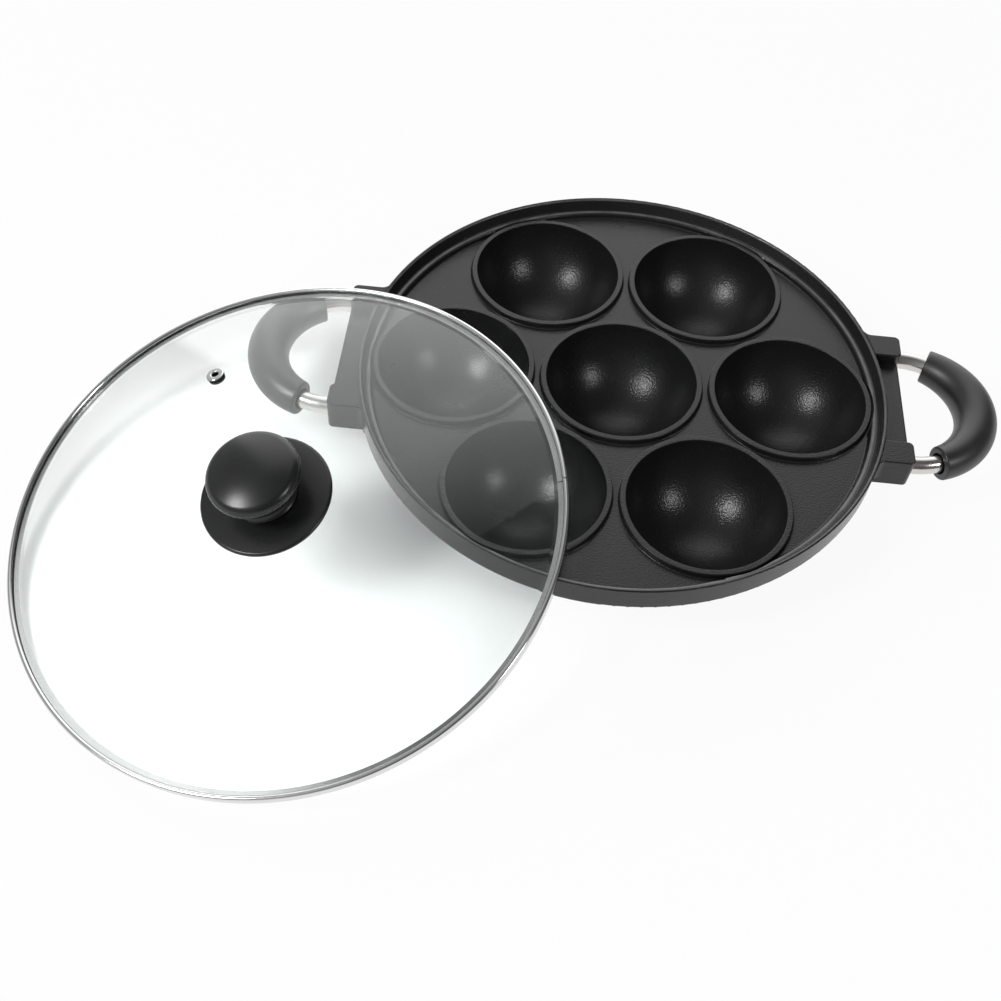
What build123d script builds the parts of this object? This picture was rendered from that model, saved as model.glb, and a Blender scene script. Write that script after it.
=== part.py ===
from build123d import *

import os
from math import cos, degrees, radians, sin, sqrt

# Takoyaki pan with a loose domed glass lid. Millimetres, +Z up.
# Origin: the middle of the pan on the table top. The two grips lie along X.
# The lid rests against the pan: one edge on the table, its underside on the pan's rim and left grip.

# ---- Driving dimensions: pan ----
RIM_R = 120.0               # outside radius of the pan
RIM_TOP = 41.61             # top of the rim's lip
PLATE_TOP = 33.50           # floor between the cups
PLATE_UNDER = 30.70         # underside of the plate
RIM_UNDER = 29.40           # the rim's outer wall reaches a little lower than the plate
RIM_STEP_R = 116.0          # inner edge of that lower part
RIM_STEP_SLOPE = 0.8
LIP_IN_R = 118.75           # inner edge of the lip
LIP_ROUND = 1.1
WALL_FOOT_R = 116.6         # foot of the rim's inner wall, where the ledge starts
LEDGE_TOP = 36.30           # ledge that the lid's band stands above
LEDGE_R = 114.2             # inner edge of the ledge
LEDGE_ROUND = 1.7
LEDGE_FOOT_R = 113.6        # where the ledge's side meets the floor
LEDGE_FOOT_ROUND = 0.9
PLATE_R = 112.4             # where the plate ends and the rim begins

CUP_PITCH = 77.3            # centre of the pan to the middle of each outer cup
CUP_COUNT = 6               # outer cups, round one in the middle
CUP_R = 34.56               # radius of the bowl's sphere; its mouth is 34.5
CUP_CENTRE_Z = 38.31        # height of the bowl's sphere centre
CUP_WALL = 3.0
RING_TOP = 36.25            # raised ring round each cup
RING_R = 37.1               # outer edge of the ring's flat top
RING_SIDE_R = 37.4          # ring's steep side, where its line meets the floor
RING_FOOT_R = 38.15         # outer edge of the ring's foot on the floor
FOOT_R = 12.0               # flat pad under each cup, on the table

# ---- Driving dimensions: handles ----
LUG_OUT_X = 129.3           # outer face of the lugs
LUG_IN_Y = 26.1             # inner face of each lug
LUG_OUT_Y = 38.8            # outer face of each lug
LUG_UNDER = 26.55
LUG_START_X = 110.0         # lugs and web are drawn from here outward, then cut back to the rim
LUG_ROOT_R = 119.3
LUG_HEEL_R = 116.0          # how far lugs and web reach in under the rim
LUG_CORNER_R = 2.4
LUG_BLEND_R = 4.0           # soft corner between lug and rim
LUG_EDGE_ROUND = 0.6
WEB_X = 129.0               # low web that joins the two lugs
WEB_TOP = 35.85
WEB_UNDER = 27.65
ROD_R = 3.95                # steel rod
ROD_Z = 33.2
ROD_Y = 32.1                # rod axis to the pan's X axis, and radius of the bow
ROD_END_X = 119.5           # inner end of the rod in its lug
BOW_X = 130.3               # centre of the rod's half-round bow
ROD_HOLE_R = 4.05
GRIP_MID_R = 9.35           # grip's radius in the middle
GRIP_END_R = 7.65           # grip's radius at its two ends
GRIP_HALF_ANGLE = 68.0      # the grip covers this much of the bow on each side of the middle
GRIP_MOUTH_R = 4.9          # wider mouth of the grip's bore
GRIP_MOUTH = 4.0            # depth of that mouth
PIN_R = 1.5                 # pin driven up from under the lug to hold the rod
PIN_X = 125.0
PIN_PROUD = 0.6
PIN_ABOVE_ROD = 1.5         # how far past the rod's axis the pin reaches

# ---- Driving dimensions: lid, in its own frame (Z is the lid's axis) ----
GLASS_TOP = 20.4            # top of the dome
GLASS_SPHERE_R = 322.0
DOME_CENTRE_Z = GLASS_TOP - GLASS_SPHERE_R
GLASS_T = 3.0
GLASS_R = 119.0
GLASS_HOLE_R = 4.0          # hole for the knob's screw
BAND_R = 120.2              # outside of the steel band
BAND_T = 0.6
BEAD_R = 1.1                # round bead along the band's top
FLANGE_UNDER = -4.2         # the band stands on the pan's lip with this face
SKIRT_R = 116.0             # skirt that drops inside the pan's rim
SKIRT_UNDER = -5.1
SEAM_ANGLE = 10.2           # where the band's two ends meet
SEAM_GAP = 0.5
VENT_X, VENT_Y = -38.7, 62.5
VENT_HOLE_R = 2.6
VENT_BORE_R = 1.6
VENT_FLANGE_R = 4.1
KNOB_X, KNOB_Y = -0.35, -1.5    # the knob sits a little off the middle
KNOB_BASE_R = 27.45
KNOB_SEAL_T = 0.55          # silicone washer under the knob
KNOB_TOP = 45.1
KNOB_R = 19.3
KNOB_WIDE_Z = 37.9          # height of the knob's widest ring
CROWN_R = 45.6              # sphere of the knob's top
CROWN_EDGE_R = 16.3         # where that top turns down into its edge
NECK_R = 12.0
NECK_FOOT_R = 13.7
BASE_HOLE_R = 9.0
BASE_RIM_TOP = 22.2
BASE_TOP = 23.1             # base's top where the neck stands
INSERT_R = 4.2
INSERT_LOW = 22.6
INSERT_HIGH = 34.6
SCREW_R = 2.5
HEAD_R = 4.8
HEAD_T = 2.8
GASKET_R = 9.5
GASKET_LOW = GLASS_TOP - GLASS_T - 1.3
WASHER_R = 8.0
WASHER_T = 1.0

# ---- Driving dimensions: where the lid rests ----
LID_CENTRE = (-138.72, -93.34, 31.85)
LID_NORMAL = (-0.16591, -0.16131, 0.97286)


def profile(*pieces):
    """Face in the XZ plane, bounded by the given lines, ready to turn about Z."""
    edges = [edge for piece in pieces for edge in (Plane.XZ * piece).edges()]
    return make_face(edges)


def turned(*pieces):
    return revolve(profile(*pieces), Axis.Z)


def rounded_outline(corners):
    """Closed line through (x, z, radius) corners, each rounded by its own radius."""
    return FilletPolyline(
        *[(x, z) for x, z, _ in corners],
        radius=[r for _, _, r in corners],
        close=True,
    )


def at_cups(solid):
    """The solid once at the middle of the pan and once at every outer cup."""
    outer = [
        Pos(CUP_PITCH * cos(radians(a)), CUP_PITCH * sin(radians(a)), 0) * solid
        for a in range(0, 360, 360 // CUP_COUNT)
    ]
    return [solid] + outer


# ---- Pan: one casting, kept as rim, plate, cups and handle brackets that meet face to face ----
def cup_sockets(low, high):
    """Round columns where the seven cups pass through the plate and the foot of the rim."""
    column = Cylinder(RING_FOOT_R, high - low, align=(Align.CENTER, Align.CENTER, Align.MIN))
    return at_cups(Pos(0, 0, low) * column)


def pan_rim():
    """Outer wall with its lip, and the rounded ledge along its foot."""
    corners = [
        (PLATE_R, PLATE_UNDER, 0),
        (RIM_STEP_R, PLATE_UNDER, 0),
        (RIM_STEP_R + RIM_STEP_SLOPE, RIM_UNDER, 0.5),
        (RIM_R, RIM_UNDER, 1.0),
        (RIM_R, RIM_TOP, 0.45),
        (LIP_IN_R, RIM_TOP, LIP_ROUND),
        (WALL_FOOT_R, LEDGE_TOP, 0.4),
        (LEDGE_R, LEDGE_TOP, LEDGE_ROUND),
        (LEDGE_FOOT_R, PLATE_TOP, LEDGE_FOOT_ROUND),
        (PLATE_R, PLATE_TOP, 0),
    ]
    return turned(rounded_outline(corners)) - cup_sockets(PLATE_UNDER - 1, RIM_TOP)


def pan_plate():
    low = (Align.CENTER, Align.CENTER, Align.MIN)
    disc = Pos(0, 0, PLATE_UNDER) * Cylinder(PLATE_R, PLATE_TOP - PLATE_UNDER, align=low)
    return disc - cup_sockets(PLATE_UNDER - 1, PLATE_TOP + 1)


def cup_body():
    """Solid outside of one cup: foot pad, round bowl and raised ring."""
    r = CUP_R + CUP_WALL
    foot_z = CUP_CENTRE_Z - sqrt(r**2 - FOOT_R**2)
    blend_z = PLATE_UNDER - 3.4
    blend_r = sqrt(r**2 - (CUP_CENTRE_Z - blend_z) ** 2)
    mid = radians(-62)
    bowl = ThreePointArc(
        (FOOT_R, foot_z),
        (r * cos(mid), CUP_CENTRE_Z + r * sin(mid)),
        (blend_r, blend_z),
    )
    blend = Line((blend_r, blend_z), (RING_FOOT_R, PLATE_UNDER))
    upper = FilletPolyline(
        (RING_FOOT_R, PLATE_UNDER),
        (RING_FOOT_R, PLATE_TOP),
        (RING_SIDE_R, PLATE_TOP),
        (RING_R, RING_TOP),
        (0, RING_TOP),
        radius=[0, 0.6, 0.5],
    )
    closing = Polyline((0, RING_TOP), (0, 0), (FOOT_R, 0), (FOOT_R, foot_z))
    return turned(bowl, blend, upper, closing)


def cup_hollow():
    """Inside of one cup, with a softly rounded mouth."""
    mouth = 0.4
    edge_z = RING_TOP - mouth
    edge_r = sqrt(CUP_R**2 - (CUP_CENTRE_Z - edge_z) ** 2)
    bottom = CUP_CENTRE_Z - CUP_R
    mid = radians(-45)
    bowl = ThreePointArc(
        (0, bottom),
        (CUP_R * cos(mid), CUP_CENTRE_Z + CUP_R * sin(mid)),
        (edge_r, edge_z),
    )
    lip = ThreePointArc(
        (edge_r, edge_z),
        (edge_r + mouth * (1 - cos(radians(45))), edge_z + mouth * sin(radians(45))),
        (edge_r + mouth, RING_TOP),
    )
    closing = Polyline((edge_r + mouth, RING_TOP), (edge_r + mouth, 41), (0, 41), (0, bottom))
    return turned(bowl, lip, closing)


def lug_plan(side, root_r, blend):
    """Outline of one lug seen from above; side is +1 or -1 along Y."""
    block = Pos((LUG_START_X + LUG_OUT_X) / 2, side * (LUG_IN_Y + LUG_OUT_Y) / 2) * Rectangle(
        LUG_OUT_X - LUG_START_X, LUG_OUT_Y - LUG_IN_Y
    )
    plan = Circle(RIM_R) + block
    corners = [v for v in plan.vertices() if v.X > LUG_OUT_X - 0.1]
    plan = fillet(corners, LUG_CORNER_R)
    if blend:
        root_x = sqrt(RIM_R**2 - LUG_OUT_Y**2)
        root = [v for v in plan.vertices() if abs(v.X - root_x) < 0.1 and v.Y * side > 0]
        plan = fillet(root, blend)
    zone_y = LUG_OUT_Y + blend + 1.5
    zone = Pos(120, side * (LUG_IN_Y + zone_y) / 2) * Rectangle(30, zone_y - LUG_IN_Y)
    return (plan & zone) - Circle(root_r)


def lug(side):
    upper = Pos(0, 0, PLATE_UNDER) * extrude(
        lug_plan(side, LUG_ROOT_R, LUG_BLEND_R), RIM_TOP - PLATE_UNDER
    )
    rim_edges = [
        e
        for e in upper.edges().filter_by(lambda e: e.bounding_box().min.Z > RIM_TOP - 0.01)
        if e.center().X > 121
    ]
    upper = fillet(rim_edges, LUG_EDGE_ROUND)
    lower = Pos(0, 0, LUG_UNDER) * extrude(
        lug_plan(side, LUG_HEEL_R, 0), PLATE_UNDER + 1 - LUG_UNDER
    )
    under_edges = [
        e
        for e in lower.edges().filter_by(lambda e: e.bounding_box().max.Z < LUG_UNDER + 0.01)
        if e.center().X > 121
    ]
    lower = fillet(under_edges, LUG_EDGE_ROUND)
    return upper + lower


def handle_bracket():
    """Two lugs and the web between them, on the +X side, against the rim."""
    web_depth = WEB_X - LUG_START_X
    web = Pos(LUG_START_X + web_depth / 2, 0, (WEB_TOP + WEB_UNDER) / 2) * Box(
        web_depth, 2 * LUG_IN_Y + 2, WEB_TOP - WEB_UNDER
    )
    web = fillet(web.edges().filter_by(Axis.Y).group_by(Axis.X)[-1], 1.0)
    web -= Cylinder(LUG_HEEL_R, 4 * WEB_TOP)
    rim = Pos(0, 0, RIM_UNDER) * Cylinder(
        RIM_R, RIM_TOP - RIM_UNDER + 1, align=(Align.CENTER, Align.CENTER, Align.MIN)
    )
    bracket = lug(1) + lug(-1) + web - rim
    for side in (1, -1):
        hole_length = LUG_OUT_X - ROD_END_X + 0.3
        hole = Rot(0, 90, 0) * Cylinder(
            ROD_HOLE_R, hole_length + 2, align=(Align.CENTER, Align.CENTER, Align.MIN)
        )
        bracket -= Pos(ROD_END_X - 0.3, side * ROD_Y, ROD_Z) * hole
        bracket -= rod_pin(side)
    return bracket


def rod_pin(side):
    low_z = LUG_UNDER - PIN_PROUD
    pin = Cylinder(
        PIN_R, ROD_Z + PIN_ABOVE_ROD - low_z, align=(Align.CENTER, Align.CENTER, Align.MIN)
    )
    pin = fillet(pin.edges().group_by(Axis.Z)[0], 0.4)
    return Pos(PIN_X, side * ROD_Y, low_z) * pin


def cups():
    return at_cups(cup_body() - cup_hollow())


# ---- Handles, drawn on the +X side ----
def handle_rod():
    path = Line((ROD_END_X, -ROD_Y, ROD_Z), (BOW_X, -ROD_Y, ROD_Z))
    path += ThreePointArc(
        (BOW_X, -ROD_Y, ROD_Z), (BOW_X + ROD_Y, 0, ROD_Z), (BOW_X, ROD_Y, ROD_Z)
    )
    path += Line((BOW_X, ROD_Y, ROD_Z), (ROD_END_X, ROD_Y, ROD_Z))
    start = Plane(origin=(ROD_END_X, -ROD_Y, ROD_Z), x_dir=(0, 1, 0), z_dir=(1, 0, 0))
    rod = sweep(start * Circle(ROD_R), path=path)
    return rod - [rod_pin(1), rod_pin(-1)]


def bow_plane(angle):
    """Plane square to the bow at this angle from the middle of the grip."""
    a = radians(angle)
    return Plane(
        origin=(BOW_X + ROD_Y * cos(a), ROD_Y * sin(a), ROD_Z),
        x_dir=(cos(a), sin(a), 0),
        z_dir=(-sin(a), cos(a), 0),
    )


def bow_piece(radius, start, end):
    """Round bar along the bow between two angles."""
    section = bow_plane(start) * Circle(radius)
    axis = Axis((BOW_X, 0, 0), (0, 0, 1))
    return revolve(section, axis, end - start)


def grip():
    stations = 9
    sections = []
    for i in range(stations):
        angle = GRIP_HALF_ANGLE * (2 * i / (stations - 1) - 1)
        share = cos(radians(90 * angle / GRIP_HALF_ANGLE))
        radius = GRIP_END_R + (GRIP_MID_R - GRIP_END_R) * share
        sections.append(bow_plane(angle) * Circle(radius))
    body = loft(sections)
    ends = [e for face in body.faces().filter_by(GeomType.PLANE) for e in face.edges()]
    body = fillet(ends, 0.9)
    over = 6.0
    mouth_angle = degrees(GRIP_MOUTH / ROD_Y)
    bore = bow_piece(ROD_R, -GRIP_HALF_ANGLE - over, GRIP_HALF_ANGLE + over)
    mouth_low = bow_piece(GRIP_MOUTH_R, -GRIP_HALF_ANGLE - over, -GRIP_HALF_ANGLE + mouth_angle)
    mouth_high = bow_piece(GRIP_MOUTH_R, GRIP_HALF_ANGLE - mouth_angle, GRIP_HALF_ANGLE + over)
    return body - bore - mouth_low - mouth_high


# ---- Lid, drawn in its own frame ----

def dome_z(r, offset=0.0):
    """Height of the dome at radius r; offset is measured outward from the glass's top face."""
    return DOME_CENTRE_Z + sqrt((GLASS_SPHERE_R + offset) ** 2 - r**2)


def dome_arc(r_from, r_to, offset=0.0):
    mid = (r_from + r_to) / 2
    return ThreePointArc(
        (r_from, dome_z(r_from, offset)),
        (mid, dome_z(mid, offset)),
        (r_to, dome_z(r_to, offset)),
    )


def vent_place():
    """Frame on the glass's top face at the vent, square to the glass."""
    z = dome_z(sqrt(VENT_X**2 + VENT_Y**2))
    return Plane(origin=(VENT_X, VENT_Y, z), z_dir=(VENT_X, VENT_Y, z - DOME_CENTRE_Z))


def knob_location():
    """The knob stands square to the dome, turned about the dome's centre."""
    z = dome_z(sqrt(KNOB_X**2 + KNOB_Y**2))
    out = Vector(KNOB_X, KNOB_Y, z - DOME_CENTRE_Z).normalized()
    origin = Vector(0, 0, DOME_CENTRE_Z) - out * DOME_CENTRE_Z
    return Plane(origin=origin, x_dir=(out.Z, 0, -out.X), z_dir=out).location


def lid_glass():
    """Dome whose lower edge is ground flat where it stands on the band's flange."""
    seat_z = FLANGE_UNDER + BAND_T
    inner_r = GLASS_SPHERE_R - GLASS_T
    seat_r = sqrt(inner_r**2 - (seat_z - DOME_CENTRE_Z) ** 2)
    edge_z = dome_z(GLASS_R)
    glass = turned(
        dome_arc(0, GLASS_R),
        Polyline((GLASS_R, edge_z), (GLASS_R, seat_z), (seat_r, seat_z)),
        dome_arc(seat_r, 0, -GLASS_T),
        Line((0, dome_z(0, -GLASS_T)), (0, dome_z(0))),
    )
    vent = vent_place() * Cylinder(VENT_HOLE_R, 20)
    knob_hole = knob_location() * Pos(0, 0, GLASS_TOP) * Cylinder(GLASS_HOLE_R, 20)
    return glass - vent - knob_hole


def lid_band():
    """Hooked steel strip: folded bead over the glass's edge, wall, flange and inner skirt."""
    bead_x = BAND_R - BEAD_R
    inner_bead = BEAD_R - BAND_T
    leg_x = bead_x - BEAD_R
    leg_end = GLASS_TOP - GLASS_SPHERE_R + sqrt(GLASS_SPHERE_R**2 - bead_x**2) - 0.8
    wall_x = BAND_R - BAND_T
    seat_z = FLANGE_UNDER + BAND_T
    band = turned(
        ThreePointArc((BAND_R, -BEAD_R), (bead_x, 0), (leg_x, -BEAD_R)),
        Polyline(
            (leg_x, -BEAD_R),
            (leg_x, leg_end),
            (leg_x + BAND_T, leg_end),
            (leg_x + BAND_T, -BEAD_R),
        ),
        ThreePointArc(
            (leg_x + BAND_T, -BEAD_R), (bead_x, -BEAD_R + inner_bead), (wall_x, -BEAD_R)
        ),
        Polyline(
            (wall_x, -BEAD_R),
            (wall_x, seat_z),
            (SKIRT_R - BAND_T, seat_z),
            (SKIRT_R - BAND_T, SKIRT_UNDER),
            (SKIRT_R, SKIRT_UNDER),
            (SKIRT_R, FLANGE_UNDER),
            (BAND_R - 0.3, FLANGE_UNDER),
            (BAND_R, FLANGE_UNDER + 0.3),
            (BAND_R, -BEAD_R),
        ),
    )
    seam = Rot(0, 0, SEAM_ANGLE) * Pos(BAND_R, 0, -3) * Box(12, SEAM_GAP, 12)
    return band - lid_glass() - seam


def vent_grommet():
    """Steel eyelet through the glass, flared on both faces."""
    top = 0.9
    under = -GLASS_T - 0.8
    eyelet = turned(
        FilletPolyline(
            (VENT_BORE_R, under),
            (VENT_FLANGE_R - 0.4, under),
            (VENT_FLANGE_R - 0.4, -GLASS_T),
            (VENT_HOLE_R, -GLASS_T),
            (VENT_HOLE_R, 0),
            (VENT_FLANGE_R, 0),
            (VENT_FLANGE_R, top),
            (VENT_BORE_R, top),
            radius=[0.2, 0.3, 0, 0, 0, 0, 0.6, 0.5],
            close=True,
        )
    )
    return (vent_place() * eyelet) - lid_glass()


def knob_gasket_top():
    """Silicone washer between the knob's base and the glass."""
    inner, outer = GLASS_HOLE_R + 1, KNOB_BASE_R - 0.9
    return turned(
        dome_arc(inner, outer),
        Line((outer, dome_z(outer)), (outer, dome_z(outer, KNOB_SEAL_T))),
        dome_arc(outer, inner, KNOB_SEAL_T),
        Line((inner, dome_z(inner, KNOB_SEAL_T)), (inner, dome_z(inner))),
    )


def knob_base():
    """Low round guard disc under the knob."""
    under_z = dome_z(KNOB_BASE_R, KNOB_SEAL_T)
    rim_mid = (under_z + BASE_RIM_TOP) / 2
    crown = ThreePointArc(
        (KNOB_BASE_R - 1.2, BASE_RIM_TOP), (21.0, BASE_RIM_TOP + 0.6), (NECK_FOOT_R + 0.5, BASE_TOP)
    )
    rim = ThreePointArc(
        (KNOB_BASE_R - 0.9, dome_z(KNOB_BASE_R - 0.9, KNOB_SEAL_T)),
        (KNOB_BASE_R, rim_mid),
        (KNOB_BASE_R - 1.2, BASE_RIM_TOP),
    )
    return turned(
        dome_arc(BASE_HOLE_R, KNOB_BASE_R - 0.9, KNOB_SEAL_T),
        rim,
        crown,
        Polyline(
            (NECK_FOOT_R + 0.5, BASE_TOP),
            (NECK_FOOT_R + 0.1, BASE_TOP - 0.5),
            (BASE_HOLE_R, BASE_TOP - 0.5),
            (BASE_HOLE_R, dome_z(BASE_HOLE_R, KNOB_SEAL_T)),
        ),
    )


def crown_z(r):
    return KNOB_TOP - CROWN_R + sqrt(CROWN_R**2 - r**2)


def knob_cap():
    """Mushroom knob with its neck, and a spigot that enters the base."""
    spigot_z = dome_z(BASE_HOLE_R - 0.2, KNOB_SEAL_T) + 0.6
    foot = Polyline(
        (0, spigot_z),
        (BASE_HOLE_R - 0.2, spigot_z),
        (BASE_HOLE_R - 0.2, BASE_TOP - 0.5),
        (NECK_FOOT_R, BASE_TOP - 0.5),
        (NECK_FOOT_R, BASE_TOP + 0.4),
    )
    neck = ThreePointArc(
        (NECK_FOOT_R, BASE_TOP + 0.4), (NECK_R, BASE_TOP + 4.8), (NECK_R + 2.0, BASE_TOP + 9.2)
    )
    shoulder = ThreePointArc(
        (NECK_R + 2.0, BASE_TOP + 9.2), (KNOB_R - 1.1, KNOB_WIDE_Z - 2.7), (KNOB_R, KNOB_WIDE_Z)
    )
    edge = ThreePointArc(
        (KNOB_R, KNOB_WIDE_Z), (18.47, KNOB_WIDE_Z + 2.6), (CROWN_EDGE_R, crown_z(CROWN_EDGE_R))
    )
    crown = ThreePointArc(
        (CROWN_EDGE_R, crown_z(CROWN_EDGE_R)), (8.0, crown_z(8.0)), (0, KNOB_TOP)
    )
    cap = turned(foot, neck, shoulder, edge, crown, Line((0, KNOB_TOP), (0, spigot_z)))
    insert_hole = Pos(0, 0, INSERT_LOW) * Cylinder(
        INSERT_R, INSERT_HIGH - INSERT_LOW, align=(Align.CENTER, Align.CENTER, Align.MIN)
    )
    entry = Pos(0, 0, spigot_z - 1) * Cylinder(
        SCREW_R + 0.5, INSERT_LOW - spigot_z + 1.5, align=(Align.CENTER, Align.CENTER, Align.MIN)
    )
    return cap - insert_hole - entry


def knob_insert():
    """Threaded sleeve moulded into the neck; the thread is a plain bore here."""
    height = INSERT_HIGH - INSERT_LOW
    low = (Align.CENTER, Align.CENTER, Align.MIN)
    sleeve = Cylinder(INSERT_R, height, align=low) - Cylinder(SCREW_R, height, align=low)
    return Pos(0, 0, INSERT_LOW) * sleeve


def knob_gasket_bottom():
    """Silicone grommet under the glass, with a collar that fills the glass's hole."""
    collar_top = dome_z(GLASS_HOLE_R) - 0.3
    bore = SCREW_R + 0.1
    return turned(
        dome_arc(GLASS_HOLE_R, GASKET_R, -GLASS_T),
        Polyline(
            (GASKET_R, dome_z(GASKET_R, -GLASS_T)),
            (GASKET_R, GASKET_LOW),
            (bore, GASKET_LOW),
            (bore, collar_top),
            (GLASS_HOLE_R, collar_top),
            (GLASS_HOLE_R, dome_z(GLASS_HOLE_R, -GLASS_T)),
        ),
    )


def knob_washer():
    low = (Align.CENTER, Align.CENTER, Align.MIN)
    ring = Cylinder(WASHER_R, WASHER_T, align=low) - Cylinder(SCREW_R + 0.2, WASHER_T, align=low)
    return Pos(0, 0, GASKET_LOW - WASHER_T) * ring


def knob_screw():
    """Pan-head screw with a cross recess, driven up from under the glass."""
    head_top = GASKET_LOW - WASHER_T
    low = (Align.CENTER, Align.CENTER, Align.MIN)
    head = Cylinder(HEAD_R, HEAD_T, align=low)
    head = fillet(head.edges().group_by(Axis.Z)[0], 1.2)
    recess = Box(5.0, 1.1, 1.6, align=low) + Box(1.1, 5.0, 1.6, align=low)
    shank = Pos(0, 0, HEAD_T) * Cylinder(SCREW_R, INSERT_HIGH - 2 - head_top, align=low)
    return Pos(0, 0, head_top - HEAD_T) * (head - recess + shank)


# ---- Every node, placed ----
def lid_location():
    plane = Plane(origin=LID_CENTRE, z_dir=LID_NORMAL)
    across = Vector(1, 0, 0) - plane.z_dir * plane.z_dir.X
    return Plane(origin=LID_CENTRE, x_dir=across, z_dir=LID_NORMAL).location


def knob_pieces():
    return {
        "knob_gasket_top": knob_gasket_top(),
        "knob_base": knob_base(),
        "knob_cap": knob_cap(),
        "knob_insert": knob_insert(),
        "knob_gasket_bottom": knob_gasket_bottom(),
        "knob_washer": knob_washer(),
        "knob_screw": knob_screw(),
    }


def lid_pieces():
    pieces = {"lid_glass": lid_glass(), "lid_band": lid_band(), "vent_grommet": vent_grommet()}
    for name, piece in knob_pieces().items():
        pieces[name] = knob_location() * piece
    return pieces


def pan_pieces():
    pieces = {"pan_rim": pan_rim(), "pan_plate": pan_plate()}
    for number, cup in enumerate(cups()):
        pieces[f"cup_{number}"] = cup
    pins = Compound(children=[rod_pin(1), rod_pin(-1)])
    handle = {
        "bracket": handle_bracket(),
        "handle_rod": handle_rod(),
        "grip": grip(),
        "rod_pins": pins,
    }
    for name, piece in handle.items():
        pieces[name + "_right"] = piece
        pieces[name + "_left"] = mirror(piece, Plane.YZ)
    return pieces


def nodes():
    made = pan_pieces()
    for name, piece in lid_pieces().items():
        made[name] = lid_location() * piece
    return made


def main():
    os.makedirs("parts", exist_ok=True)
    for name, piece in nodes().items():
        export_step(piece, f"parts/{name}.step")


main()
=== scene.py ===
import math

import bmesh
import bpy
from mathutils import Matrix, Vector


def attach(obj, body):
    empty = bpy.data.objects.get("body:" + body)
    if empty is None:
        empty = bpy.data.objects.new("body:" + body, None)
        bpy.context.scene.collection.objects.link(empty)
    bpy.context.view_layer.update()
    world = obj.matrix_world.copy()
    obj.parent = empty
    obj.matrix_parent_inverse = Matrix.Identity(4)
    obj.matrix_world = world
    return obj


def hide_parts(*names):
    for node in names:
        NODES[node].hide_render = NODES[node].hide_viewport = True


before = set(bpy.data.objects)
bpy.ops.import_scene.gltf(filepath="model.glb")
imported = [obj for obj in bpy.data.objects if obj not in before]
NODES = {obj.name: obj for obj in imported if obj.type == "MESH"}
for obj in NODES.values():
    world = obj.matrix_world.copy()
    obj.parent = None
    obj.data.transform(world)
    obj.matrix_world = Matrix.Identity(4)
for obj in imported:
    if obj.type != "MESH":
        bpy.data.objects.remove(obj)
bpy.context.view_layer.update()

MM = 0.001
PAN_NODES = [name for name in NODES if name.startswith(("pan_", "cup_", "bracket_"))]

# The lid's own frame: middle of the band's top, and the lid's axis.
LID_CENTRE = (-138.72 * MM, -93.34 * MM, 31.85 * MM)
LID_NORMAL = (-0.16591, -0.16131, 0.97286)
# Sphere of the glass's upper face, and how far above it the eyelet's painted shade is full and where it ends.
GLASS_TOP = 20.4 * MM
GLASS_SPHERE_R = 322.0 * MM
DOME_CENTRE = Vector(LID_CENTRE) + Vector(LID_NORMAL) * (GLASS_TOP - GLASS_SPHERE_R)
SHADE_FULL_TO = 0.45 * MM
UNSHADED_FROM = 0.7 * MM
# Band, in the lid's frame, in mm.
BAND_R = 120.2
BAND_T = 0.6
BEAD_R = 1.1
LEG_END = -1.98             # foot of the folded leg, just over the glass
LEG_SLANT = 0.24            # how much lower it is on its outer side, as the dome falls
FOOT_CHAMFER = 0.3          # bevel under the outer wall
SEAT_Z = -3.63              # flange's top, just under the glass
FLANGE_UNDER = -4.2
SKIRT_R = 116.0
SKIRT_UNDER = -5.1
SEAM_ANGLE = 10.2           # degrees, where the band's two ends meet
SEAM_HALF = 0.12            # half the gap there, in degrees
BAND_STEPS = 540            # sections round the band
BEAD_STEPS = 12             # facets over the bead
SHARP_CORNER = 28           # degrees, from which a corner of the band shades sharp

# Coating: how fine its noise is, how deep its bumps are, its specks and its colours.
PEBBLES, PEBBLE_DEPTH = 1250, 0.15 * MM
ORANGE_PEEL, ORANGE_PEEL_DEPTH = 420, 0.05 * MM
PATCHES = 34
SPECKS = 900
SPECK_REACH = (0.10, 0.24)  # distance from a cell's middle where a speck starts to fade and ends
SPECK_CHOICE = (0.80, 0.90) # random value of a cell from which it begins to show a speck, and shows it whole
SPECK_SHARE = 0.55
SPECK_COLOUR = (0.10, 0.10, 0.098, 1)
# Painted highlight colour along the pan's two rounded inner edges.
EDGE_HIGHLIGHT_COLOUR = (0.17, 0.17, 0.168, 1)
# Painted shade colour for the eyelet's bore and foot.
PAINTED_SHADE_COLOUR = (0.012, 0.012, 0.012, 1)

# The pan's edges with a painted highlight, a lighter colour along them: radius and height of the edge, and
# how far the painted highlight reaches.
HIGHLIGHTED_EDGES = (
    (118.5 * MM, 41.4 * MM, 0.9 * MM),      # inner edge of the lip
    (115.3 * MM, 36.2 * MM, 1.2 * MM),      # inner edge of the ledge
)

# Camera: place, axes and focal length in mm.
CAMERA_AT = (-38.2 * MM, -402.0 * MM, 464.4 * MM)
CAMERA_RIGHT = (0.9948, 0.0916, 0.0452)
CAMERA_DOWN = (0.1003, -0.7913, -0.6032)
CAMERA_AHEAD = (-0.0195, 0.6046, -0.7963)
LENS = 45.79
SENSOR = 36.0

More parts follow.
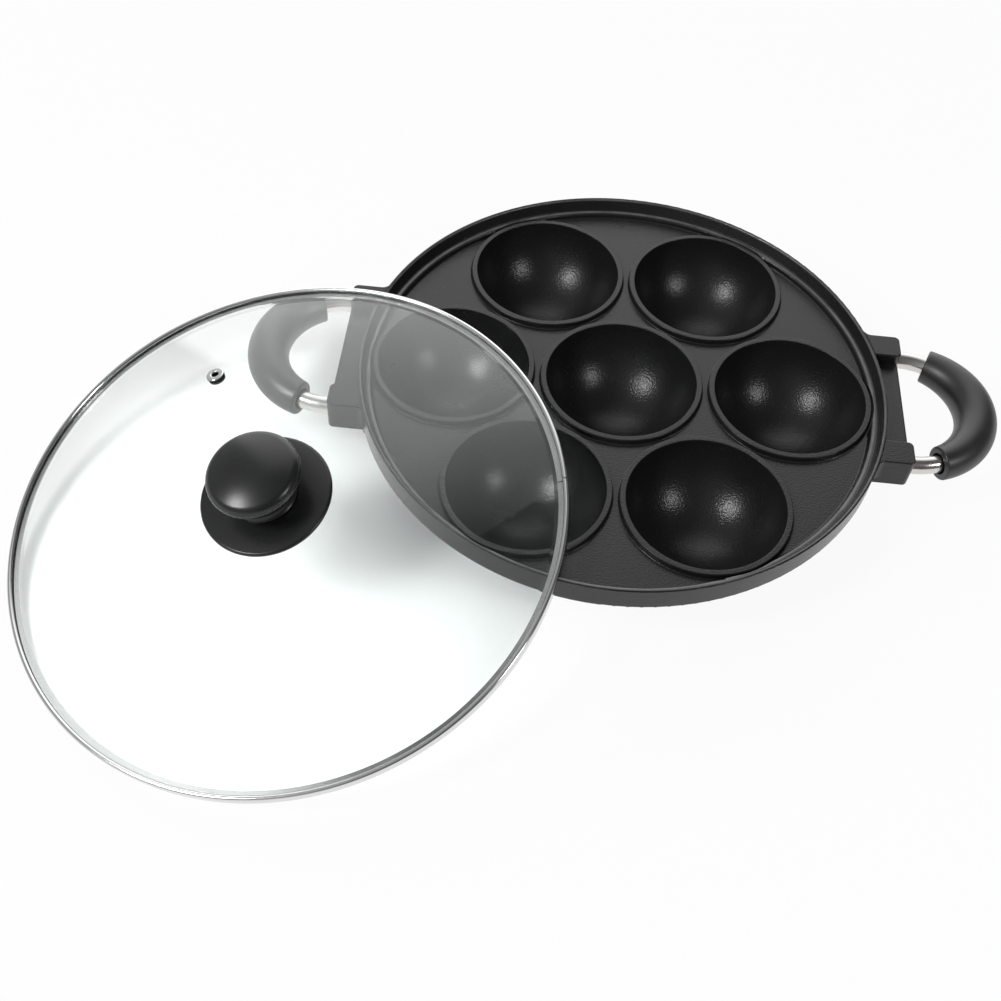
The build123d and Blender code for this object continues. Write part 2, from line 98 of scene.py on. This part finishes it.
# Studio: a bright backdrop behind, a dim wall to the left, open dark room elsewhere.
# The backdrop is brightest low and straight behind (+Y) and fades to nothing overhead.
BACKDROP_LIGHT = 2.32
BACKDROP_FADE_Y = 0.15      # direction's Y where its light begins
BACKDROP_FADE_POWER = 0.55
RIGHT_EDGE = (-0.7535, 0.657, -0.0242)      # each points into the backdrop from its upright edge
RIGHT_EDGE_SHARE = 0.42     # share of its light at that edge
RIGHT_EDGE_FULL = 0.36      # how far past the edge, on that normal, its light is whole
RIGHT_EDGE_SOFT = 0.006
LEFT_EDGE = (0.788, 0.616, 0.0)
LEFT_EDGE_SPAN = (-0.04, 0.02)
LEFT_WALL_LIGHT = 0.40
LEFT_WALL_SPAN = (-0.3, 0.2)    # direction's X where the wall's light begins to fall, and is the room's
ROOM_LIGHT = 0.115
WHITE_SHARE = 0.93          # how far the table looks plain white, over its own light and shadow
# Two round soft lamps in front: direction from the object, irradiance and diameter.
LAMPS = (
    ("lamp_left", (-0.62, -0.38, 0.687), 1.35, 0.47),
    ("lamp_right", (0.71, -0.40, 0.575), 0.50, 0.34),
)
LAMP_DISTANCE = 1.7
LAMP_TARGET = (-0.03, 0.0, 0.03)
FLOOR_R = 3.0
FLOOR_SIDES = 96
FLOOR_Z = -0.0002           # a hair under the object's lowest points


# ---------------------------------------------------------------- node helpers
class Tree:
    """Short names for building one node tree."""

    def __init__(self, owner):
        owner.use_nodes = True
        self.tree = owner.node_tree
        self.tree.nodes.clear()

    def add(self, kind, **values):
        node = self.tree.nodes.new(kind)
        for key, value in values.items():
            if hasattr(node, key):
                setattr(node, key, value)
            else:
                node.inputs[key.replace("_", " ")].default_value = value
        return node

    def link(self, output, target):
        self.tree.links.new(output, target)

    def math(self, operation, a, b=None, clamp=False):
        node = self.add("ShaderNodeMath", operation=operation, use_clamp=clamp)
        for socket, value in zip(node.inputs, (a, b)):
            if value is None:
                continue
            if isinstance(value, (int, float)):
                socket.default_value = value
            else:
                self.link(value, socket)
        return node.outputs[0]

    def span(self, value, low, high, out_low=0.0, out_high=1.0, smooth=False):
        """Value between low and high, clamped and drawn out to out_low and out_high."""
        node = self.add("ShaderNodeMapRange")
        node.clamp = True
        if smooth:
            node.interpolation_type = "SMOOTHSTEP"
        self.link(value, node.inputs["Value"])
        for name, number in (
            ("From Min", low), ("From Max", high), ("To Min", out_low), ("To Max", out_high)
        ):
            node.inputs[name].default_value = number
        return node.outputs["Result"]

    def along(self, vector, axis):
        """How far the vector goes along the axis."""
        node = self.add("ShaderNodeVectorMath", operation="DOT_PRODUCT")
        self.link(vector, node.inputs[0])
        node.inputs[1].default_value = axis
        return node.outputs["Value"]

    def noise(self, vector, scale, detail=3.0, roughness=0.5):
        node = self.add("ShaderNodeTexNoise")
        node.inputs["Scale"].default_value = scale
        node.inputs["Detail"].default_value = detail
        node.inputs["Roughness"].default_value = roughness
        self.link(vector, node.inputs["Vector"])
        return node.outputs["Fac"]

    def colours(self, factor, low, high):
        node = self.add("ShaderNodeMix", data_type="RGBA")
        self.link(factor, node.inputs["Factor"])
        node.inputs["A"].default_value = (*low, 1)
        node.inputs["B"].default_value = (*high, 1)
        return node.outputs["Result"]

    def bump(self, height, distance, strength, normal=None):
        node = self.add("ShaderNodeBump")
        node.inputs["Distance"].default_value = distance
        node.inputs["Strength"].default_value = strength
        self.link(height, node.inputs["Height"])
        if normal is not None:
            self.link(normal, node.inputs["Normal"])
        return node.outputs["Normal"]


def material(name):
    """New material, its tree, texture coordinates in the row's frame, shader and output."""
    made = bpy.data.materials.new(name)
    tree = Tree(made)
    place = tree.add("ShaderNodeTexCoord").outputs["Object"]
    bsdf = tree.add("ShaderNodeBsdfPrincipled")
    output = tree.add("ShaderNodeOutputMaterial")
    tree.link(bsdf.outputs[0], output.inputs[0])
    return made, tree, place, bsdf, output


def stretched(tree, place, scale):
    node = tree.add("ShaderNodeMapping")
    node.inputs["Scale"].default_value = scale
    tree.link(place, node.inputs["Vector"])
    return node.outputs["Vector"]


# ------------------------------------------------------------------- materials
# Noise scales are per metre, and bump distances in metres.
def blended(tree, factor, below, above):
    """The colour above laid over the one below, by the factor."""
    mix = tree.add("ShaderNodeMix", data_type="RGBA")
    tree.link(factor, mix.inputs["Factor"])
    tree.link(below, mix.inputs["A"])
    mix.inputs["B"].default_value = above
    return mix.outputs["Result"]


def painted_edge_highlight(tree, place):
    """1 along the pan's two round edges, where a painted highlight lightens the coating."""
    parts = tree.add("ShaderNodeSeparateXYZ")
    tree.link(place, parts.inputs[0])
    across = tree.math("POWER", parts.outputs["X"], 2.0)
    along = tree.math("POWER", parts.outputs["Y"], 2.0)
    radius = tree.math("SQRT", tree.math("ADD", across, along))
    total = None
    for edge_r, edge_z, reach in HIGHLIGHTED_EDGES:
        off_r = tree.math("POWER", tree.math("SUBTRACT", radius, edge_r), 2.0)
        off_z = tree.math("POWER", tree.math("SUBTRACT", parts.outputs["Z"], edge_z), 2.0)
        off = tree.math("SQRT", tree.math("ADD", off_r, off_z))
        ring = tree.span(off, 0.0, reach, 1.0, 0.0, smooth=True)
        total = ring if total is None else tree.math("MAXIMUM", total, ring)
    uneven = tree.span(tree.noise(place, 90, 3.0), 0.35, 0.65, 0.55, 1.0)
    return tree.math("MULTIPLY", total, uneven)


def coated_aluminium():
    """Dark grey non-stick coating: fine pebbled skin, pale specks, uneven sheen, and a painted highlight
    along two rounded edges.
    """
    made, tree, place, bsdf, _ = material("coated_aluminium")
    bsdf.inputs["IOR"].default_value = 1.44
    pebble = tree.noise(place, PEBBLES, 1.0)
    orange_peel = tree.noise(place, ORANGE_PEEL, 2.0)
    patches = tree.noise(place, PATCHES, 3.0, 0.55)
    specks = tree.add("ShaderNodeTexVoronoi", feature="F1")
    specks.inputs["Scale"].default_value = SPECKS
    tree.link(place, specks.inputs["Vector"])
    near = tree.span(specks.outputs["Distance"], *SPECK_REACH, 1.0, 0.0)
    chosen = tree.span(specks.outputs["Color"], *SPECK_CHOICE)
    fleck = tree.math("MULTIPLY", near, chosen)
    ground = tree.colours(patches, (0.0105, 0.0108, 0.0108), (0.0150, 0.0152, 0.0150))
    # Painted highlight: a lighter colour, with lower roughness, along the lip's and ledge's inner edges.
    edge_highlight = painted_edge_highlight(tree, place)
    tint = blended(tree, edge_highlight, ground, EDGE_HIGHLIGHT_COLOUR)
    tint = blended(tree, tree.math("MULTIPLY", fleck, SPECK_SHARE), tint, SPECK_COLOUR)
    tree.link(tint, bsdf.inputs["Base Color"])
    rough = tree.span(patches, 0.3, 0.7, 0.22, 0.28)
    tree.link(tree.math("MULTIPLY", rough, tree.span(edge_highlight, 0, 1, 1.0, 0.65)), bsdf.inputs["Roughness"])
    low = tree.bump(orange_peel, ORANGE_PEEL_DEPTH, 0.3)
    tree.link(tree.bump(pebble, PEBBLE_DEPTH, 0.9, low), bsdf.inputs["Normal"])
    return made


def drawn_steel():
    """Bright drawn rod: faint lines along it and soft haze."""
    made, tree, place, bsdf, _ = material("drawn_steel")
    lines = tree.noise(stretched(tree, place, (120, 2400, 2400)), 1.0, 2.0)
    haze = tree.noise(place, 160, 3.0)
    tree.link(tree.colours(haze, (0.60, 0.575, 0.56), (0.70, 0.68, 0.67)), bsdf.inputs["Base Color"])
    bsdf.inputs["Metallic"].default_value = 1.0
    tree.link(tree.span(haze, 0.3, 0.7, 0.16, 0.26), bsdf.inputs["Roughness"])
    tree.link(tree.bump(lines, 0.00002, 0.3), bsdf.inputs["Normal"])
    return made


def stainless(name, rough_low, rough_high):
    """Stainless sheet: cloudy polish and a fine grain."""
    made, tree, place, bsdf, _ = material(name)
    fine = tree.noise(place, 700, 2.0)
    haze = tree.noise(place, 45, 3.0)
    tree.link(tree.colours(haze, (0.66, 0.66, 0.66), (0.78, 0.78, 0.775)), bsdf.inputs["Base Color"])
    bsdf.inputs["Metallic"].default_value = 1.0
    tree.link(tree.span(haze, 0.3, 0.7, rough_low, rough_high), bsdf.inputs["Roughness"])
    tree.link(tree.bump(fine, 0.00001, 0.2), bsdf.inputs["Normal"])
    return made


def bright_eyelet():
    """Polished eyelet: bright on its face, with painted shade, a near-black colour, in its bore and round its
    foot.
    """
    made, tree, place, bsdf, _ = material("bright_eyelet")
    reach = tree.add("ShaderNodeVectorMath", operation="DISTANCE")
    tree.link(place, reach.inputs[0])
    reach.inputs[1].default_value = DOME_CENTRE
    # Painted shade: near the glass the eyelet's colour turns near-black and less metallic, standing in for
    # shade in its bore and under its foot.
    unshaded = tree.span(reach.outputs["Value"], GLASS_SPHERE_R + SHADE_FULL_TO, GLASS_SPHERE_R + UNSHADED_FROM)
    haze = tree.noise(place, 300, 3.0)
    steel = tree.colours(haze, (0.70, 0.70, 0.70), (0.80, 0.80, 0.795))
    painted_shade = tree.math("SUBTRACT", 1.0, unshaded)
    tree.link(blended(tree, painted_shade, steel, PAINTED_SHADE_COLOUR), bsdf.inputs["Base Color"])
    tree.link(tree.span(unshaded, 0, 1, 0.2, 1.0), bsdf.inputs["Metallic"])
    tree.link(tree.span(haze, 0.3, 0.7, 0.12, 0.18), bsdf.inputs["Roughness"])
    return made


def moulded_plastic(name, dark, light, rough_low, rough_high, grain, ior):
    """Black phenolic moulding: uneven depth of colour, soft gloss and a faint moulded grain."""
    made, tree, place, bsdf, _ = material(name)
    bsdf.inputs["IOR"].default_value = ior
    cloud = tree.noise(place, 60, 3.0)
    skin = tree.noise(place, 1100, 2.0)
    tree.link(tree.colours(cloud, dark, light), bsdf.inputs["Base Color"])
    tree.link(tree.span(cloud, 0.3, 0.7, rough_low, rough_high), bsdf.inputs["Roughness"])
    tree.link(tree.bump(skin, 0.00003, grain), bsdf.inputs["Normal"])
    return made


def clear_glass():
    """Tempered glass, faintly green; lamps shine through it."""
    made, tree, place, bsdf, output = material("clear_glass")
    cloud = tree.noise(place, 9, 2.0)
    tree.link(
        tree.colours(cloud, (0.950, 0.974, 0.966), (0.958, 0.980, 0.973)), bsdf.inputs["Base Color"]
    )
    bsdf.inputs["Roughness"].default_value = 0.0
    bsdf.inputs["IOR"].default_value = 1.5
    bsdf.inputs["Transmission Weight"].default_value = 1.0
    waves = tree.noise(place, 14, 1.0)
    tree.link(tree.bump(waves, 0.00004, 0.25), bsdf.inputs["Normal"])
    clear = tree.add("ShaderNodeBsdfTransparent")
    clear.inputs[0].default_value = (0.90, 0.92, 0.915, 1)
    path = tree.add("ShaderNodeLightPath")
    mix = tree.add("ShaderNodeMixShader")
    tree.link(path.outputs["Is Shadow Ray"], mix.inputs[0])
    tree.link(bsdf.outputs[0], mix.inputs[1])
    tree.link(clear.outputs[0], mix.inputs[2])
    tree.link(mix.outputs[0], output.inputs[0])
    return made


def milky_silicone():
    """Translucent silicone, dull and a little cloudy."""
    made, tree, place, bsdf, _ = material("milky_silicone")
    cloud = tree.noise(place, 220, 3.0)
    tree.link(tree.colours(cloud, (0.60, 0.62, 0.61), (0.74, 0.75, 0.745)), bsdf.inputs["Base Color"])
    tree.link(tree.span(cloud, 0.3, 0.7, 0.45, 0.6), bsdf.inputs["Roughness"])
    tree.link(tree.bump(cloud, 0.00003, 0.3), bsdf.inputs["Normal"])
    return made


# -------------------------------------------------------------------- lid band
def lid_frame():
    """Matrix from the lid's own frame to the row's."""
    up = Vector(LID_NORMAL).normalized()
    across = (Vector((1, 0, 0)) - up * up.x).normalized()
    turn = Matrix((across, up.cross(across), up)).transposed()
    return Matrix.Translation(LID_CENTRE) @ turn.to_4x4()


def arc(centre, radius, start, end, steps):
    """Points (r, z) on an arc; angles in degrees from straight outward, up."""
    points = []
    for i in range(steps + 1):
        a = math.radians(start + (end - start) * i / steps)
        points.append((centre[0] + radius * math.cos(a), centre[1] + radius * math.sin(a)))
    return points


def band_outline():
    """Section of the band, (r, z) in mm: wall, bead folded in at the top, flange and skirt."""
    bead = (BAND_R - BEAD_R, -BEAD_R)
    leg_r = bead[0] - BEAD_R
    wall_r = BAND_R - BAND_T
    return (
        [(BAND_R - FOOT_CHAMFER, FLANGE_UNDER), (BAND_R, FLANGE_UNDER + FOOT_CHAMFER)]
        + arc(bead, BEAD_R, 0, 180, BEAD_STEPS)
        + [(leg_r, LEG_END), (leg_r + BAND_T, LEG_END - LEG_SLANT)]
        + arc(bead, BEAD_R - BAND_T, 180, 0, BEAD_STEPS)
        + [
            (wall_r, SEAT_Z), (SKIRT_R - BAND_T, SEAT_Z), (SKIRT_R - BAND_T, SKIRT_UNDER),
            (SKIRT_R, SKIRT_UNDER), (SKIRT_R, FLANGE_UNDER),
        ]
    )


def turned_strip(name, outline, start, end, steps):
    """Closed outline of (r, z) in mm, turned about Z between two angles and capped at both ends."""
    count = len(outline)
    points = []
    for i in range(steps + 1):
        a = math.radians(start + (end - start) * i / steps)
        points += [(r * MM * math.cos(a), r * MM * math.sin(a), z * MM) for r, z in outline]
    faces = [
        (i * count + j, i * count + (j + 1) % count, (i + 1) * count + (j + 1) % count, (i + 1) * count + j)
        for i in range(steps)
        for j in range(count)
    ]
    faces.append(tuple(range(count)))
    faces.append(tuple(range(steps * count + count - 1, steps * count - 1, -1)))
    mesh = bpy.data.meshes.new(name)
    mesh.from_pydata(points, [], faces)
    solid = bmesh.new()
    solid.from_mesh(mesh)
    bmesh.ops.recalc_face_normals(solid, faces=solid.faces)
    solid.to_mesh(mesh)
    solid.free()
    mesh.polygons.foreach_set("use_smooth", [True] * len(mesh.polygons))
    mesh.set_sharp_from_angle(angle=math.radians(SHARP_CORNER))
    made = bpy.data.objects.new(name, mesh)
    bpy.context.scene.collection.objects.link(made)
    return made


def polished_band(finish):
    """Band with finely turned, even curves, so that its highlights run unbroken."""
    band = turned_strip(
        "polished_band", band_outline(), SEAM_ANGLE + SEAM_HALF, SEAM_ANGLE + 360 - SEAM_HALF, BAND_STEPS
    )
    band.data.transform(lid_frame())
    band.data.materials.append(finish)
    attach(band, "lid")
    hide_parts("lid_band")


# -------------------------------------------------------------------- dressing
def dress(node_materials):
    """Gives every CAD node its material, on all of its slots."""
    for made, names in node_materials:
        for name in names:
            mesh = NODES[name].data
            for index in range(max(1, len(mesh.materials))):
                if index < len(mesh.materials):
                    mesh.materials[index] = made
                else:
                    mesh.materials.append(made)


rolled_strip = stainless("rolled_strip", 0.12, 0.18)
dress((
    (coated_aluminium(), PAN_NODES),
    (drawn_steel(), [
        "handle_rod_left", "handle_rod_right", "rod_pins_left", "rod_pins_right",
        "knob_insert", "knob_screw", "knob_washer",
    ]),
    (rolled_strip, ["lid_band"]),
    (bright_eyelet(), ["vent_grommet"]),
    (
        moulded_plastic("grip_plastic", (0.012, 0.012, 0.0125), (0.018, 0.018, 0.019), 0.34, 0.44, 0.35, 1.6),
        ["grip_left", "grip_right"],
    ),
    (
        moulded_plastic(
            "knob_plastic", (0.0095, 0.010, 0.0105), (0.013, 0.0135, 0.014), 0.25, 0.30, 0.2, 1.5
        ),
        ["knob_cap", "knob_base"],
    ),
    (clear_glass(), ["lid_glass"]),
    (milky_silicone(), ["knob_gasket_top", "knob_gasket_bottom"]),
))
polished_band(rolled_strip)


# ---------------------------------------------------------------------- studio
def studio_floor():
    mesh = bpy.data.meshes.new("floor")
    turns = [math.tau * i / FLOOR_SIDES for i in range(FLOOR_SIDES)]
    rim = [(FLOOR_R * math.cos(a), FLOOR_R * math.sin(a), FLOOR_Z) for a in turns]
    mesh.from_pydata(rim, [], [list(range(FLOOR_SIDES))])
    floor = bpy.data.objects.new("floor", mesh)
    bpy.context.scene.collection.objects.link(floor)
    made = bpy.data.materials.new("white_table")
    tree = Tree(made)
    paper = tree.add("ShaderNodeBsdfDiffuse")
    place = tree.add("ShaderNodeTexCoord").outputs["Object"]
    tree.link(
        tree.colours(tree.noise(place, 3, 2.0), (0.925, 0.928, 0.93), (0.935, 0.937, 0.938)),
        paper.inputs["Color"],
    )
    glow = tree.add("ShaderNodeEmission")
    glow.inputs["Strength"].default_value = 1.0
    path = tree.add("ShaderNodeLightPath")
    mix = tree.add("ShaderNodeMixShader")
    mirrored = tree.math("GREATER_THAN", path.outputs["Glossy Depth"], 0.5)
    looked_at = tree.math("ADD", path.outputs["Is Camera Ray"], mirrored, clamp=True)
    tree.link(tree.math("MULTIPLY", looked_at, WHITE_SHARE), mix.inputs[0])
    tree.link(paper.outputs[0], mix.inputs[1])
    tree.link(glow.outputs[0], mix.inputs[2])
    output = tree.add("ShaderNodeOutputMaterial")
    tree.link(mix.outputs[0], output.inputs[0])
    mesh.materials.append(made)


def surroundings():
    """White to the eye and through glass; in light and gloss, the backdrop and the dim room."""
    world = bpy.data.worlds.new("studio")
    bpy.context.scene.world = world
    tree = Tree(world)
    direction = tree.add("ShaderNodeTexCoord").outputs["Generated"]
    parts = tree.add("ShaderNodeSeparateXYZ")
    tree.link(direction, parts.inputs[0])
    room = tree.span(parts.outputs["X"], *LEFT_WALL_SPAN, LEFT_WALL_LIGHT, ROOM_LIGHT)
    past_right = tree.along(direction, RIGHT_EDGE)
    past_left = tree.along(direction, LEFT_EDGE)
    shape = tree.math(
        "MULTIPLY",
        tree.span(past_right, -RIGHT_EDGE_SOFT, RIGHT_EDGE_SOFT),
        tree.span(past_left, *LEFT_EDGE_SPAN, smooth=True),
    )
    height = tree.math("MAXIMUM", tree.math("SUBTRACT", parts.outputs["Y"], BACKDROP_FADE_Y), 0.0)
    behind = tree.math("MULTIPLY", tree.math("POWER", height, BACKDROP_FADE_POWER), BACKDROP_LIGHT)
    across = tree.span(past_right, 0.0, RIGHT_EDGE_FULL, RIGHT_EDGE_SHARE, 1.0)
    backdrop = tree.math("MULTIPLY", shape, tree.math("MULTIPLY", behind, across))
    light = tree.math("MAXIMUM", backdrop, room)
    path = tree.add("ShaderNodeLightPath")
    mirrored = tree.math("GREATER_THAN", path.outputs["Glossy Depth"], 0.5)
    through = tree.math("SUBTRACT", path.outputs["Is Transmission Ray"], mirrored, clamp=True)
    seen = tree.math("ADD", path.outputs["Is Camera Ray"], through, clamp=True)
    strength = tree.add("ShaderNodeMix", data_type="FLOAT")
    tree.link(seen, strength.inputs["Factor"])
    tree.link(light, strength.inputs["A"])
    strength.inputs["B"].default_value = 1.0
    background = tree.add("ShaderNodeBackground")
    background.inputs["Color"].default_value = (1, 1, 1, 1)
    tree.link(strength.outputs["Result"], background.inputs["Strength"])
    output = tree.add("ShaderNodeOutputWorld")
    tree.link(background.outputs[0], output.inputs[0])


def lamps():
    target = Vector(LAMP_TARGET)
    for name, toward, irradiance, diameter in LAMPS:
        toward = Vector(toward).normalized()
        data = bpy.data.lights.new(name, "AREA")
        data.shape = "DISK"
        data.size = diameter
        data.energy = math.pi * irradiance * LAMP_DISTANCE**2
        lamp = bpy.data.objects.new(name, data)
        lamp.location = target + toward * LAMP_DISTANCE
        lamp.rotation_euler = toward.to_track_quat("Z", "Y").to_euler()
        bpy.context.scene.collection.objects.link(lamp)


def camera():
    data = bpy.data.cameras.new("camera")
    data.lens = LENS
    data.sensor_width = SENSOR
    data.sensor_fit = "HORIZONTAL"
    data.clip_start = 0.01
    data.clip_end = 50
    seat = bpy.data.objects.new("camera", data)
    right, down, ahead = Vector(CAMERA_RIGHT), Vector(CAMERA_DOWN), Vector(CAMERA_AHEAD)
    turn = Matrix((right, -down, -ahead)).transposed()
    seat.matrix_world = Matrix.Translation(CAMERA_AT) @ turn.to_4x4()
    bpy.context.scene.collection.objects.link(seat)
    bpy.context.scene.camera = seat


studio_floor()
surroundings()
lamps()
camera()
bpy.context.scene.view_settings.view_transform = "Standard"
